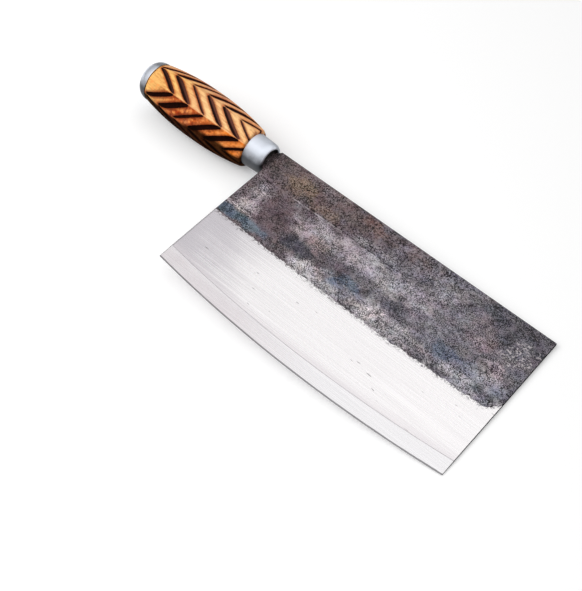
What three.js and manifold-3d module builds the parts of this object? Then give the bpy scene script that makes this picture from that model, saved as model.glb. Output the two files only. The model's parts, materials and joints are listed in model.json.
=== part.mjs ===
import * as THREE from 'three';
import { mergeVertices } from 'three/addons/utils/BufferGeometryUtils.js';
import Module from 'manifold-3d';

// A hand-forged kitchen cleaver with a through tang, in millimetres.
// The knife has its own frame: X runs along the spine from the heel at 0 to the toe, Y points from
// the cutting edge to the spine at 0, and Z is square to the blade, with 0 halfway through it.
// At the end the knife is laid on a table, with the middle of its box's underside at the origin.

// Blade
const bladeLength = 197;
const bladeHeight = 103.4; // spine to edge at the heel and at the toe
const edgeBelly = 6; // how far the cutting edge bows past the line from heel to toe
const spineThickness = 3; // at the heel
const toeTaper = 0.6; // thickness lost from heel to toe
const cheekTaper = 0.5; // thickness lost from the spine to the grind line
const grindDepth = 58; // from the spine to where the ground face starts
const bladeStations = 24;

// Edge steel, forge-welded into a slot along the edge of the iron
const steelThickness = 1;
const steelBand = 10; // height of the bare steel along the edge
const edgeThickness = 0.2;
const slotDepth = 22; // from the spine to the top of the slot
const jacketLip = 0.12; // thickness of the iron where it runs out over the steel
const weldGap = 0.06;

// Grip
const gripAxisDrop = 9.1; // from the spine down to the grip's axis
const gripLength = 79;
const gripBellyRadius = 16.9; // over the ridges
const gripBellyPlace = 40; // from the front shoulder back to the fullest part
const gripFrontRadius = 12.9;
const gripButtRadius = 13.2;
const barrelPower = 2.2; // how suddenly the barrel falls away from its belly
const rimRound = 1.2;
const gripFacets = 8;
const facetFlatness = 0.5; // 0 is a round section and 1 a sharp octagon
const ridgeTurn = 9; // degrees from the upper cheek's normal to the nearest ridge, towards the spine
const pointsPerFacet = 5;
const barrelStations = 14;

// Herringbone carved in the grip: on every facet, cuts that slant from one ridge to the next
const firstCut = 2.2; // from the butt to where the first cut leaves its ridge
const cutPitch = 13;
const cutReach = 19.6; // how far a cut runs along the grip across one facet
const cutWidths = [3.2, 3.8, 2]; // in turn, from the butt
const cutDepthShare = 0.6; // of a cut's half width
const cutLift = 0.4; // of the cutter above the wood
const cutPoint = 0.12; // share of a cut over which each end narrows to a point

// Ferrule
const ferruleLength = 14;
const ferruleRadius = 10.7; // at the rear
const ferruleTaper = 0.4; // radius lost from the rear to the start of the lip
const ferruleWall = 0.9;
const ferruleGap = 1.6; // bare neck between the heel and the ferrule
const lipLength = 4.4;
const lipDrop = 1.7; // how far the lip turns in
const fillRecess = 2; // from the lip back to the pitch
const fillThickness = 1.4;

// Tang
const mouthClearance = 1; // from the neck's edges to the lip
const neckThinning = 0.4; // how much thinner the neck is than the spine
const rootWidth = 10.4; // where the tang enters the wood
const tailWidth = 4.4;
const tailThickness = 2.8;
const headOverlap = 0.7; // how far the peened head reaches past its hole
const headHeight = 0.9;
const beddingWall = 1.5;

// Butt cap
const capRadius = 12.9;
const capLength = 9;
const capWall = 0.8;
const domePower = 2.5; // 2 is an ellipse, more is fuller
const seatDepth = 2.2; // of the washer's seat below the crest around it
const seatSlope = 1.3; // width of the sloping rim of the seat
const washerRadius = 4.6;
const washerThickness = 0.7;
const seatClearance = 0.6; // around the washer

const fitGap = 0.3; // between pieces that seat in or on each other
const turnedSides = 40;
const curveSteps = 4; // along a rounded rim, lip or head
const domeSteps = 10;
const mergeDistance = 1e-4;

const wasm = await Module();
wasm.setup();

function solidOf(geometry) {
  const bare = geometry.clone();
  bare.deleteAttribute('normal');
  bare.deleteAttribute('uv');
  const merged = mergeVertices(bare, mergeDistance);
  return new wasm.Manifold(new wasm.Mesh({
    numProp: 3,
    vertProperties: new Float32Array(merged.attributes.position.array),
    triVerts: new Uint32Array(merged.index.array),
  }));
}

function geometryOf(solid) {
  const { vertProperties, triVerts } = solid.getMesh();
  const geometry = new THREE.BufferGeometry();
  geometry.setAttribute('position', new THREE.BufferAttribute(vertProperties, 3));
  geometry.setIndex(new THREE.BufferAttribute(triVerts, 1));
  return geometry;
}

// Closed solid through rings of as many points each, which run anticlockwise seen from +X
function loft(rings) {
  const count = rings[0].length;
  const last = (rings.length - 1) * count;
  const indices = [];
  for (let start = 0; start < last; start += count) {
    for (let j = 0; j < count; j++) {
      const a = start + j;
      const b = start + ((j + 1) % count);
      indices.push(a, b, a + count, b, b + count, a + count);
    }
  }
  const ends = [[0, rings[0]], [last, rings[rings.length - 1]]];
  for (const [first, ring] of ends) {
    const outline = ring.map((point) => new THREE.Vector2(point.y, point.z));
    for (const [a, b, c] of THREE.ShapeUtils.triangulateShape(outline, [])) {
      const triangle = first === 0 ? [a, c, b] : [a, b, c];
      indices.push(...triangle.map((corner) => first + corner));
    }
  }
  const geometry = new THREE.BufferGeometry().setFromPoints(rings.flat());
  geometry.setIndex(indices);
  return geometry;
}

// Solid of revolution about the grip's axis. The profile of [place along X, radius] runs forwards
// along its outer side and is closed from its last point to its first.
function turned(profile) {
  const points = profile.map(([x, radius]) => new THREE.Vector2(radius, x));
  const geometry = new THREE.LatheGeometry([...points, points[0].clone()], turnedSides);
  return geometry.rotateZ(-Math.PI / 2).translate(0, -gripAxisDrop, 0);
}

// Places along X and sizes that follow from the values above
const ferruleFront = -ferruleGap;
const ferruleRear = ferruleFront - ferruleLength + fitGap;
const shoulder = ferruleFront - ferruleLength;
const butt = shoulder - gripLength;
const capRim = butt - fitGap;
const lipStart = ferruleFront - lipLength;
const lipStartRadius = ferruleRadius - ferruleTaper;
const mouthRadius = lipStartRadius - lipDrop - ferruleWall;
const fillFront = ferruleFront - fillRecess;
const fillRear = fillFront - fillThickness;
const tenonFront = fillRear - fitGap;
const tenonRadius = lipStartRadius - ferruleWall - fitGap;
const tailHole = Math.hypot(tailWidth / 2, tailThickness / 2) + fitGap;
const seatRadius = washerRadius + seatClearance;
const crestRadius = seatRadius + seatSlope;
const crest = capRim - domeReach(capLength, capRadius, crestRadius);
const seat = crest + seatDepth;
const tenonRear = seat + capWall + fitGap;
const washerRear = seat - fitGap - washerThickness;
const headBase = washerRear - fitGap;

// Depth of the cutting edge below the spine, along one arc
function edgeDepth(x) {
  const half = bladeLength / 2;
  const arcRadius = (half ** 2 + edgeBelly ** 2) / (2 * edgeBelly);
  return bladeHeight + edgeBelly - arcRadius + Math.sqrt(arcRadius ** 2 - (x - half) ** 2);
}

function spineHalf(x) {
  return (spineThickness - toeTaper * (x / bladeLength)) / 2;
}

function alongBlade(section) {
  const rings = [];
  for (let i = 0; i <= bladeStations; i++) {
    const x = (bladeLength * i) / bladeStations;
    rings.push(section(x).map(([y, z]) => new THREE.Vector3(x, y, z)));
  }
  return loft(rings);
}

// Iron cheeks and spine: one folded section, open along the edge for the steel
function ironSection(x) {
  const slotHalf = steelThickness / 2 + weldGap;
  const lipHalf = slotHalf + jacketLip;
  const lipEnd = edgeDepth(x) - steelBand;
  const upper = [
    [0, spineHalf(x)],
    [-grindDepth, spineHalf(x) - cheekTaper / 2],
    [-lipEnd, lipHalf],
    [-lipEnd, slotHalf],
    [-slotDepth, slotHalf],
  ];
  const lower = upper.map(([y, z]) => [y, -z]).reverse();
  return [...upper, ...lower];
}

function steelSection(x) {
  const steelHalf = steelThickness / 2;
  const upper = [
    [-slotDepth - weldGap, steelHalf],
    [steelBand - edgeDepth(x), steelHalf],
    [-edgeDepth(x), edgeThickness / 2],
  ];
  const lower = upper.map(([y, z]) => [y, -z]).reverse();
  return [...upper, ...lower];
}

// Stations of the tang from its tail to the neck's root inside the blade: place, half width and half
// thickness, with extra room all round where the tang cuts another piece
function tangStations(extra) {
  const neckThickness = spineThickness - neckThinning;
  const neckWidth = 2 * (mouthRadius - mouthClearance);
  const stations = [
    [headBase, tailWidth, tailThickness],
    [tenonFront, rootWidth, neckThickness],
    [ferruleFront, neckWidth, neckThickness],
    [spineThickness, neckWidth, neckThickness],
  ];
  return stations.map(([x, width, thickness]) => [x, width / 2 + extra, thickness / 2 + extra]);
}

function tangBody(extra) {
  return loft(tangStations(extra).map(([x, halfWidth, halfThickness]) => [
    new THREE.Vector3(x, halfWidth - gripAxisDrop, halfThickness),
    new THREE.Vector3(x, -halfWidth - gripAxisDrop, halfThickness),
    new THREE.Vector3(x, -halfWidth - gripAxisDrop, -halfThickness),
    new THREE.Vector3(x, halfWidth - gripAxisDrop, -halfThickness),
  ]));
}

// The tail is hammered out over the washer into a low head
function tangHead() {
  const radius = tailHole + headOverlap;
  const profile = [[headBase, 0]];
  for (let i = 0; i <= curveSteps; i++) {
    const angle = (Math.PI / 2) * (i / curveSteps);
    profile.unshift([headBase - headHeight * Math.sin(angle), radius * Math.cos(angle)]);
  }
  return turned(profile);
}

function bladeBody() {
  const cheeks = solidOf(alongBlade(ironSection));
  return geometryOf(cheeks.add(solidOf(tangBody(0))).add(solidOf(tangHead())));
}

function ferruleLip(wall) {
  const profile = [];
  for (let i = 0; i <= curveSteps; i++) {
    const angle = (Math.PI / 2) * (i / curveSteps);
    const x = lipStart + lipLength * Math.sin(angle);
    profile.push([x, lipStartRadius - lipDrop * (1 - Math.cos(angle)) - wall]);
  }
  return profile;
}

function ferrule() {
  const outer = [[ferruleRear, ferruleRadius], ...ferruleLip(0)];
  const inner = [[ferruleRear, ferruleRadius - ferruleWall], ...ferruleLip(ferruleWall)];
  return turned([...outer, ...inner.reverse()]);
}

// Black pitch that closes the ferrule's mouth around the neck
function neckFill() {
  const angle = Math.asin((fillFront - lipStart) / lipLength);
  const inside = lipStartRadius - lipDrop * (1 - Math.cos(angle)) - ferruleWall;
  const radius = inside - fitGap;
  const disc = turned([[fillRear, 0], [fillRear, radius], [fillFront, radius], [fillFront, 0]]);
  return geometryOf(solidOf(disc).subtract(solidOf(tangBody(fitGap))));
}

function boreRadius(x) {
  const share = (x - tenonFront) / (tenonRear - tenonFront);
  const neckThickness = spineThickness - neckThinning;
  const wide = Math.hypot(rootWidth, neckThickness) / 2;
  const narrow = Math.hypot(tailWidth, tailThickness) / 2;
  return wide + (narrow - wide) * share + beddingWall + fitGap;
}

function boreBody(shrink) {
  return turned([
    [tenonRear, 0],
    [tenonRear, boreRadius(tenonRear) - shrink],
    [tenonFront, boreRadius(tenonFront) - shrink],
    [tenonFront, 0],
  ]);
}

// Pitch that beds the tang in the burnt-out bore
function tangBedding() {
  return geometryOf(solidOf(boreBody(fitGap)).subtract(solidOf(tangBody(fitGap))));
}

function barrelRadius(x) {
  const belly = shoulder - gripBellyPlace;
  const ahead = x > belly;
  const end = ahead ? shoulder : butt;
  const endRadius = ahead ? gripFrontRadius : gripButtRadius;
  const share = (x - belly) / (end - belly);
  return gripBellyRadius - (gripBellyRadius - endRadius) * share ** barrelPower;
}

// Ring of the grip: flatness draws the facets in between their ridges
function gripRing(x, radius, flatness) {
  const facet = (2 * Math.PI) / gripFacets;
  const firstRidge = Math.PI / 2 - THREE.MathUtils.degToRad(ridgeTurn);
  const ring = [];
  for (let i = 0; i < gripFacets * pointsPerFacet; i++) {
    const fromRidge = (facet * (i % pointsPerFacet)) / pointsPerFacet;
    const octagon = Math.cos(facet / 2) / Math.cos(fromRidge - facet / 2);
    const reach = radius * (1 + (octagon - 1) * flatness);
    const angle = firstRidge + (facet * i) / pointsPerFacet;
    ring.push(new THREE.Vector3(x, reach * Math.cos(angle) - gripAxisDrop, reach * Math.sin(angle)));
  }
  return ring;
}

// How far a dome reaches along its axis at a radius
function domeReach(length, baseRadius, radius) {
  return length * (1 - (radius / baseRadius) ** domePower) ** (1 / domePower);
}

function domeRadius(length, baseRadius, reach) {
  return baseRadius * (1 - (reach / length) ** domePower) ** (1 / domePower);
}

function rearTenon() {
  const radius = capRadius - capWall - fitGap;
  const length = capLength - capWall - fitGap;
  const rings = [];
  for (let i = 0; i <= domeSteps; i++) {
    const reach = ((butt - tenonRear) * i) / domeSteps;
    rings.unshift(gripRing(butt - reach, domeRadius(length, radius, reach), 0));
  }
  return rings;
}

// Rounded rim at an end of the barrel, from its end face inwards
function rim(end, inward) {
  const rings = [];
  for (let i = 0; i < curveSteps; i++) {
    const angle = (Math.PI / 2) * (i / curveSteps);
    const x = end + inward * rimRound * (1 - Math.cos(angle));
    const radius = barrelRadius(x) - rimRound * (1 - Math.sin(angle));
    rings.push(gripRing(x, radius, facetFlatness));
  }
  return rings;
}

function barrel() {
  const from = butt + rimRound;
  const to = shoulder - rimRound;
  const rings = [];
  for (let i = 0; i <= barrelStations; i++) {
    const x = from + ((to - from) * i) / barrelStations;
    rings.push(gripRing(x, barrelRadius(x), facetFlatness));
  }
  return [...rim(butt, 1), ...rings, ...rim(shoulder, -1).reverse()];
}

// Point of the barrel's side, from its facet, the share of the way across that facet and its place
function barrelPoint(facetNumber, across, x, lift) {
  const facet = (2 * Math.PI) / gripFacets;
  const fromRidge = facet * across;
  const octagon = Math.cos(facet / 2) / Math.cos(fromRidge - facet / 2);
  const reach = barrelRadius(x) * (1 + (octagon - 1) * facetFlatness) + lift;
  const angle = Math.PI / 2 - THREE.MathUtils.degToRad(ridgeTurn) + facet * facetNumber + fromRidge;
  return new THREE.Vector3(x, reach * Math.cos(angle) - gripAxisDrop, reach * Math.sin(angle));
}

// Cutter of one V-shaped cut: triangles square to the axis, from its start to its end
function cutter(facetNumber, start, width) {
  const room = Math.min(1, (shoulder - rimRound - start) / cutReach);
  const tip = cutPoint / 10;
  const stations = [[tip, tip], [cutPoint, 1], [0.5, 1], [1 - cutPoint, 1], [1 - tip, tip]];
  const slant = Math.hypot(cutReach, 2 * gripBellyRadius * Math.sin(Math.PI / gripFacets));
  const alongHalf = (width / 2) * (slant / (2 * gripBellyRadius * Math.sin(Math.PI / gripFacets)));
  const corners = [];
  for (const [share, fullness] of stations) {
    const across = facetNumber % 2 === 0 ? share * room : 1 - share * room;
    const x = start + cutReach * share * room;
    const depth = (width / 2) * cutDepthShare * fullness;
    const half = alongHalf * fullness * (1 + cutLift / depth);
    corners.push(
      barrelPoint(facetNumber, across, x, -depth),
      barrelPoint(facetNumber, across, x - half, cutLift),
      barrelPoint(facetNumber, across, x + half, cutLift));
  }
  const indices = [0, 1, 2];
  const last = corners.length - 3;
  indices.push(last, last + 2, last + 1);
  for (let a = 0; a < last; a += 3) {
    for (let j = 0; j < 3; j++) {
      const b = a + ((j + 1) % 3);
      indices.push(a + j, a + j + 3, b, b, a + j + 3, b + 3);
    }
  }
  if (facetNumber % 2 === 1) indices.reverse();
  const geometry = new THREE.BufferGeometry().setFromPoints(corners);
  geometry.setIndex(indices);
  return solidOf(geometry);
}

function carved(wood) {
  const cutters = [];
  const count = Math.floor((shoulder - rimRound - butt - firstCut) / cutPitch);
  for (let facetNumber = 0; facetNumber < gripFacets; facetNumber++) {
    for (let k = 0; k < count; k++) {
      cutters.push(cutter(facetNumber, butt + firstCut + cutPitch * k, cutWidths[k % cutWidths.length]));
    }
  }
  return wood.subtract(wasm.Manifold.union(cutters));
}

// Turned and faceted wood: a tenon under the cap, the carved barrel, and a tenon under the ferrule
function grip() {
  const frontTenon = [gripRing(shoulder, tenonRadius, 0), gripRing(tenonFront, tenonRadius, 0)];
  const wood = loft([...rearTenon(), ...barrel(), ...frontTenon]);
  return geometryOf(carved(solidOf(wood)).subtract(solidOf(boreBody(0))));
}

// Side of the cap from its rim to a radius near the crest
function capSide(length, radius, toRadius) {
  const profile = [];
  const fullReach = domeReach(length, radius, toRadius);
  for (let i = 0; i <= domeSteps; i++) {
    const reach = fullReach * Math.sin((Math.PI / 2) * (i / domeSteps));
    profile.push([capRim - reach, domeRadius(length, radius, reach)]);
  }
  return profile;
}

// Drawn cup with a sunk seat for the washer
function buttCap() {
  const inset = capWall / 2;
  const outer = capSide(capLength, capRadius, crestRadius);
  const inner = capSide(capLength - capWall, capRadius - capWall, crestRadius + inset);
  const sunkFloor = [[seat, tailHole], [seat, seatRadius]];
  const underFloor = [[seat + capWall, seatRadius + inset], [seat + capWall, tailHole]];
  return turned([...inner, ...underFloor, ...sunkFloor, ...outer.reverse()]);
}

function tailWasher() {
  return turned([
    [washerRear, tailHole],
    [washerRear, washerRadius],
    [washerRear + washerThickness, washerRadius],
    [washerRear + washerThickness, tailHole],
  ]);
}

const knife = new THREE.Group();

function place(name, geometry, color, roughness, metalness) {
  const mesh = new THREE.Mesh(geometry, new THREE.MeshStandardMaterial({ color, roughness, metalness }));
  mesh.name = name;
  knife.add(mesh);
}

place('blade_body', bladeBody(), 0x5a5257, 0.6, 0.8);
place('edge_steel', alongBlade(steelSection), 0xdfdfe2, 0.3, 1);
place('ferrule', ferrule(), 0xd9dce2, 0.35, 1);
place('neck_fill', neckFill(), 0x14110f, 0.8, 0);
place('grip', grip(), 0xd6914a, 0.5, 0);
place('tang_bedding', tangBedding(), 0x1c1612, 0.8, 0);
place('butt_cap', buttCap(), 0xd9dce2, 0.35, 1);
place('tail_washer', tailWasher(), 0xb4b4b6, 0.45, 1);

// Turn the knife until the ground face's two toe corners and the grip's belly touch the table
function layOnTable() {
  const grindCorner = new THREE.Vector3(
    bladeLength, -grindDepth, cheekTaper / 2 - spineHalf(bladeLength));
  const steelCorner = new THREE.Vector3(
    bladeLength, steelBand - bladeHeight, -steelThickness / 2 - weldGap - jacketLip);
  const toeLine = steelCorner.clone().sub(grindCorner).normalize();
  const backward = new THREE.Vector3(-1, 0, 0);
  const up = new THREE.Vector3().crossVectors(toeLine, backward).negate();
  const vertices = knife.getObjectByName('grip').geometry.attributes.position;
  const vertex = new THREE.Vector3();
  let tilt = 0;
  for (let i = 0; i < vertices.count; i++) {
    vertex.fromBufferAttribute(vertices, i).sub(grindCorner);
    tilt = Math.max(tilt, Math.atan2(-vertex.dot(up), vertex.dot(backward)));
  }
  const tableUp = up.multiplyScalar(Math.cos(tilt)).addScaledVector(backward, Math.sin(tilt));
  const tableY = new THREE.Vector3().crossVectors(tableUp, new THREE.Vector3(1, 0, 0)).normalize();
  const tableX = new THREE.Vector3().crossVectors(tableY, tableUp);
  const turn = new THREE.Matrix4().makeBasis(tableX, tableY, tableUp).invert();
  knife.quaternion.setFromRotationMatrix(turn);
  const box = new THREE.Box3().setFromObject(knife, true);
  const middle = box.getCenter(new THREE.Vector3());
  knife.position.set(-middle.x, -middle.y, -box.min.z);
}

layOnTable();

const cleaver = new THREE.Group();
cleaver.add(knife);

export default cleaver;
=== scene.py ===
import json
import math
import bmesh
import bpy
from mathutils import Matrix, Vector, noise


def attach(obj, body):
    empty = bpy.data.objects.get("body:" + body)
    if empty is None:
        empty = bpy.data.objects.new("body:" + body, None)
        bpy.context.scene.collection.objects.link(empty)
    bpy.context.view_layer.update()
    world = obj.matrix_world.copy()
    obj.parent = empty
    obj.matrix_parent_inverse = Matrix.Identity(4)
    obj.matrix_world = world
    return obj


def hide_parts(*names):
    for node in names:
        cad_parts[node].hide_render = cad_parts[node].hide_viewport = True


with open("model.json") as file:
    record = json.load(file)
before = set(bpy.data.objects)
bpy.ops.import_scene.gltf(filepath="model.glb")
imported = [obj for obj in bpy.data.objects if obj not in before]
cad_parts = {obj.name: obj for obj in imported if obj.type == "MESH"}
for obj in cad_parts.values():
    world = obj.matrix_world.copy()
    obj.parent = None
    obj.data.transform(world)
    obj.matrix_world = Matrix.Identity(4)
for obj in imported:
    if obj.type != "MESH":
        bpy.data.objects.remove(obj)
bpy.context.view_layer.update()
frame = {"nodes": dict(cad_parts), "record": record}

print("frame loaded with", len(frame["nodes"]), "CAD nodes")

# The knife's own frame, in millimetres: X along the spine from the heel to the toe, Y from the
# cutting edge up to the spine at 0, Z square to the blade with 0 halfway through it.
knife = {
    "spineMountFromHeel": 90.0,
    "millimetre": 0.001,  # in the frame's metres
    "axisDrop": 9.1,  # from the spine down to the handle's axis
}


def knifeMatrix():
    mounts = {mount["name"]: mount for mount in frame["record"]["mounts"]}
    upper, lower, spine = (mounts[name] for name in ("cheek_upper", "cheek_lower", "spine"))
    outward = (Vector(upper["axis"]) - Vector(lower["axis"])).normalized()
    toToe = Vector(spine["axis"]).cross(outward).normalized()
    toSpine = outward.cross(toToe)
    heel = Vector(spine["pos_m"]) - toToe * knife["spineMountFromHeel"] * knife["millimetre"]
    turn = Matrix((toToe, toSpine, outward)).transposed()
    return Matrix.Translation(heel) @ turn.to_4x4() @ Matrix.Scale(knife["millimetre"], 4)


knifeToRow = knifeMatrix()


# Node helpers: a Wire is a node's output that can stand in a formula
def formula(operation, turned=False):
    def apply(wire, other):
        return mathNode(wire.tree, operation, *((other, wire) if turned else (wire, other)))
    return apply


class Wire:
    def __init__(self, tree, socket):
        self.tree = tree
        self.socket = socket

    def math(self, operation, *others):
        return mathNode(self.tree, operation, self, *others)

    __add__, __radd__ = formula("ADD"), formula("ADD", turned=True)
    __sub__, __rsub__ = formula("SUBTRACT"), formula("SUBTRACT", turned=True)
    __mul__ = formula("MULTIPLY")
    __truediv__, __rtruediv__ = formula("DIVIDE"), formula("DIVIDE", turned=True)
    __pow__, __rpow__ = formula("POWER"), formula("POWER", turned=True)


def plug(tree, value, socket):
    if isinstance(value, Wire):
        tree.links.new(value.socket, socket)
    else:
        socket.default_value = value


def mathNode(tree, operation, *values):
    node = tree.nodes.new("ShaderNodeMath")
    node.operation = operation
    for value, socket in zip(values, node.inputs):
        plug(tree, value, socket)
    return Wire(tree, node.outputs[0])


def addNode(tree, kind, inputs=None, output=0, **settings):
    node = tree.nodes.new(kind)
    for name, value in settings.items():
        setattr(node, name, value)
    for name, value in (inputs or {}).items():
        plug(tree, value, node.inputs[name])
    return Wire(tree, node.outputs[output])


def separate(vector):
    node = vector.tree.nodes.new("ShaderNodeSeparateXYZ")
    plug(vector.tree, vector, node.inputs[0])
    return [Wire(vector.tree, socket) for socket in node.outputs]


def combine(tree, x, y, z):
    return addNode(tree, "ShaderNodeCombineXYZ", {"X": x, "Y": y, "Z": z})


def stretched(vector, along, across, through):
    scale = {0: vector, 1: (along, across, through)}
    return addNode(vector.tree, "ShaderNodeVectorMath", scale, operation="MULTIPLY")


def grain(vector, scale, detail=2.0, roughness=0.5, distortion=0.0, output=0):
    inputs = {"Vector": vector, "Scale": scale, "Detail": detail, "Roughness": roughness}
    inputs["Distortion"] = distortion
    return addNode(vector.tree, "ShaderNodeTexNoise", inputs, output)


def ease(value, low, high, start=0.0, end=1.0):  # smooth step from low to high
    inputs = {"Value": value, "From Min": low, "From Max": high, "To Min": start, "To Max": end}
    return addNode(value.tree, "ShaderNodeMapRange", inputs, interpolation_type="SMOOTHSTEP")


def blend(tree, share, first, second, how="MIX"):
    inputs = {0: share, 6: first, 7: second}  # the node's sockets for colours
    return addNode(tree, "ShaderNodeMix", inputs, output=2, data_type="RGBA", blend_type=how)


def shaded(tint, bright):  # a colour times a brightness
    tree = bright.tree
    return blend(tree, 1.0, combine(tree, bright, bright, bright), tint, "MULTIPLY")


def bumpOf(height, depth):  # depth in millimetres for a height of 1
    inputs = {"Height": height, "Distance": depth * knife["millimetre"], "Strength": 1.0}
    return addNode(height.tree, "ShaderNodeBump", inputs)


def colour(red, green, blue):  # screen values from 0 to 255
    def linear(value):
        share = value / 255
        return share / 12.92 if share <= 0.04045 else ((share + 0.055) / 1.055) ** 2.4
    return (linear(red), linear(green), linear(blue), 1.0)


def dress(shader, **looks):  # a socket's name has _ for each space
    for name, value in looks.items():
        plug(shader.id_data, value, shader.inputs[name.replace("_", " ")])


def finish(name, **constants):
    material = bpy.data.materials.new(name)
    material.use_nodes = True
    shader = material.node_tree.nodes["Principled BSDF"]
    dress(shader, **constants)
    return material, material.node_tree, shader


def kept(tree, name, output):  # an attribute that a mesh carries
    node = tree.nodes.new("ShaderNodeAttribute")
    node.attribute_name = name
    return Wire(tree, node.outputs[output])


def knifePlace(tree):  # the point's place in the knife's own frame, in millimetres
    return kept(tree, "knife", "Vector")


def aboutAxis(y, z):  # angle round the handle, from the upper cheek's side towards the edge
    return ((y + knife["axisDrop"]) * -1.0).math("ARCTAN2", z)


# Mesh helpers: rings of points in the knife's frame
def tube(rings, closed=False):
    count = len(rings[0])
    points = [point for ring in rings for point in ring]
    faces = []
    for i in range(len(rings) if closed else len(rings) - 1):
        near, far = i * count, ((i + 1) % len(rings)) * count
        for j in range(count):
            k = (j + 1) % count
            faces.append((near + j, near + k, far + k, far + j))
    if not closed:
        faces.append(tuple(range(count - 1, -1, -1)))
        faces.append(tuple(range(len(points) - count, len(points))))
    return points, faces


def turnedRing(x, radius, sides):
    ring = []
    for i in range(sides):
        angle = 2 * math.pi * i / sides
        ring.append((x, radius * math.cos(angle) - knife["axisDrop"], radius * math.sin(angle)))
    return ring


def eased(profile, rounds, closed=False):  # cuts each corner a quarter of the way along its sides
    for _ in range(rounds):
        pairs = list(zip(profile, profile[1:] + profile[:1] if closed else profile[1:]))
        cut = []
        for (ax, ar), (bx, br) in pairs:
            cut.append((ax * 0.75 + bx * 0.25, ar * 0.75 + br * 0.25))
            cut.append((ax * 0.25 + bx * 0.75, ar * 0.25 + br * 0.75))
        profile = cut if closed else [profile[0], *cut, profile[-1]]
    return profile


def joined(*shells):
    points, faces = [], []
    for shellPoints, shellFaces in shells:
        start = len(points)
        points.extend(shellPoints)
        faces.extend(tuple(start + corner for corner in face) for face in shellFaces)
    return points, faces


def layMesh(mesh, sharpAngle):  # keeps the knife's own places, then lays the mesh in the row frame
    shell = bmesh.new()
    shell.from_mesh(mesh)
    bmesh.ops.recalc_face_normals(shell, faces=shell.faces)
    shell.to_mesh(mesh)
    shell.free()
    places = [0.0] * (3 * len(mesh.vertices))
    mesh.vertices.foreach_get("co", places)
    mesh.attributes.new("knife", "FLOAT_VECTOR", "POINT").data.foreach_set("vector", places)
    mesh.transform(knifeToRow)
    mesh.shade_smooth()
    mesh.set_sharp_from_angle(angle=math.radians(sharpAngle))
    mesh.update()


def makePiece(mesh, material, node):
    piece = bpy.data.objects.new(mesh.name, mesh)
    bpy.context.collection.objects.link(piece)
    if not mesh.materials:
        mesh.materials.append(material)
    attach(piece, "root")
    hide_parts(node)
    print("made", piece.name, "with", len(mesh.polygons), "faces")


def meshOf(name, shell, sharpAngle=40):
    mesh = bpy.data.meshes.new(name)
    mesh.from_pydata(shell[0], [], shell[1])
    layMesh(mesh, sharpAngle)
    return mesh


# Blade: forged iron cheeks folded over the steel, with the neck, the tang and its peened tail
blade = {
    "length": 197.0,
    "height": 103.4,
    "edgeBelly": 6.0,
    "spineThickness": 3.0,
    "toeTaper": 0.6,
    "cheekTaper": 0.5,
    "grindDepth": 58.0,
    "steelBand": 10.0,
    "lipHalf": 0.68,
    "leastLip": 0.02,  # wall left beside the slot at the blade's ends
    "slotHalf": 0.56,
    "slotDepth": 22.0,
    "columns": 246,
    "rows": 126,
    "cornerRound": 0.4,
    "cornerSteps": 4,
    "endSteps": ((0.0, 0.6), (0.18, 0.25), (0.6, 0.0)),  # in from an end and off, in corner rounds
    "cheekApart": 40.0,  # between the cheeks in the noise, so that they differ
    "hammerDepth": 0.16,  # of the slow waves left by the hammer
    "hammerSize": 17.0,
    "pitDepth": 0.07,
    "pitSize": 2.3,
    "finePitSize": 1.1,
    "grindStep": 0.05,  # how far the ground face lies under the scale
    "grindBow": 2.4,  # of the line where the grinding starts
    "toeRise": 8.0,  # of that line at the toe
    "riseFrom": 186.0,
    "riseTo": 199.0,
    "foldStep": 0.15,  # of the forging line along the upper cheek
    "foldDepth": 21.5,
    "foldWaves": ((13.0, 0.3), (2.9, 0.1)),  # millimetres a radian, and height
    "foldFrom": 18.0,
    "foldRunIn": 8.0,
    "foldTo": 112.0,
    "foldRunOut": 30.0,
}
tang = {
    "headBase": -102.31,
    "headHeight": 0.9,
    "headRadius": 3.6,
    "tailHalfWidth": 2.2,
    "tailHalfThickness": 1.4,
    "rootPlace": -5.3,
    "rootHalfWidth": 5.2,
    "mouthPlace": -1.6,
    "neckHalfWidth": 6.7,
    "neckHalfThickness": 1.3,
    "shoulderPlace": -1.45,  # where the neck starts to widen to the heel
    "shoulderHalfWidth": 7.2,
    "heelHalfWidth": 8.9,
    "neckReach": 3.0,  # into the blade
    "cornerRound": 0.5,
    "cornerSteps": 3,
    "headSides": 40,
    "headRows": 7,
    "headDents": 0.12,
}


def smooth(value, low, high):
    share = min(max((value - low) / (high - low), 0.0), 1.0)
    return share * share * (3 - 2 * share)


# These three lines serve the mesh, with plain numbers, and the finish, with wires
def edgeDepth(x, root=math.sqrt):
    half = blade["length"] / 2
    radius = (half**2 + blade["edgeBelly"] ** 2) / (2 * blade["edgeBelly"])
    return blade["height"] + blade["edgeBelly"] - radius + root(radius**2 - (x - half) * (x - half))


def grindLine(x, sine=math.sin, step=smooth):
    bow = sine(x * (math.pi / blade["length"])) * blade["grindBow"]
    rise = step(x, blade["riseFrom"], blade["riseTo"])
    return blade["grindDepth"] + bow - rise * rise * blade["toeRise"]


def foldLine(x, sine=math.sin):
    (slow, tall), (quick, low) = blade["foldWaves"]
    return blade["foldDepth"] + sine(x / slow) * tall + sine(x / quick) * low


def cheekHalf(x, depth):
    spineHalf = (blade["spineThickness"] - blade["toeTaper"] * x / blade["length"]) / 2
    grindHalf = spineHalf - blade["cheekTaper"] / 2
    if depth < blade["grindDepth"]:
        return spineHalf + (grindHalf - spineHalf) * depth / blade["grindDepth"]
    share = (depth - blade["grindDepth"]) / (edgeDepth(x) - blade["steelBand"] - blade["grindDepth"])
    return grindHalf + (blade["lipHalf"] - grindHalf) * share


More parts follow.
